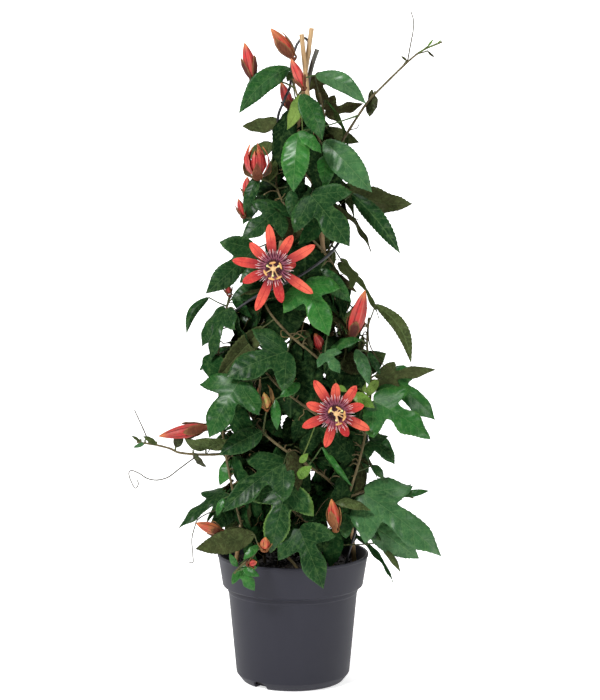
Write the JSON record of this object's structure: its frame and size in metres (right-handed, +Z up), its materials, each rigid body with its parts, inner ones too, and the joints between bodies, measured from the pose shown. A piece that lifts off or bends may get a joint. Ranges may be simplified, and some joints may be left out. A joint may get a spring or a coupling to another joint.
{
  "type": "passion flower vine",
  "caption": "Potted passion flower vine climbing bamboo canes and a wire spiral, with lobed leaves, open flowers, pointed buds and tendrils, standing on its pot.",
  "frame": {"origin": "centre of the pot's underside", "axes": "+Z up, -Y towards the front, +X to the viewer's right"},
  "size_m": [0.3449, 0.2243, 0.7481],
  "materials": {
    "pot_plastic": "satin anthracite, moulded",
    "compost": "moist peat potting compost, crumbly",
    "bamboo": "dry split bamboo, satin",
    "old_bamboo": "weathered, matte",
    "wire_coating": "black plastic-coated wire, glossy",
    "foliage": "leathery leaf, glossy above and olive beneath, on olive-brown stems",
    "petal": "soft velvety petal, satin",
    "corona": "maroon ring with white-pink filaments",
    "column": "cream stalk with yellow anthers",
    "bud_skin": "ridged closed petals, satin"
  },
  "bodies": {
    "root": {"pot": "pot_plastic", "soil": "compost", "cane_1": "bamboo", "cane_2": "bamboo", "cane_3": "old_bamboo", "wire_spiral": "wire_coating", "vine_1": "foliage", "vine_2": "foliage", "vine_3": "foliage", "vine_4": "foliage", "vine_5": "foliage", "vine_6": "foliage", "bloom_a_petals": "petal", "bloom_a_corona": "corona", "bloom_a_column": "column", "bloom_b_petals": "petal", "bloom_b_corona": "corona", "bloom_b_column": "column", "bud_01": "bud_skin", "bud_02": "bud_skin", "bud_03": "bud_skin", "bud_04": "bud_skin", "bud_05": "bud_skin", "bud_06": "bud_skin", "bud_07": "bud_skin", "bud_08": "bud_skin", "bud_09": "bud_skin", "bud_10": "bud_skin", "bud_11": "bud_skin", "bud_12": "bud_skin", "bud_13": "bud_skin", "bud_14": "bud_skin", "bud_15": "bud_skin", "bud_16": "bud_skin", "bud_17": "bud_skin"}
  },
  "joints": []
}
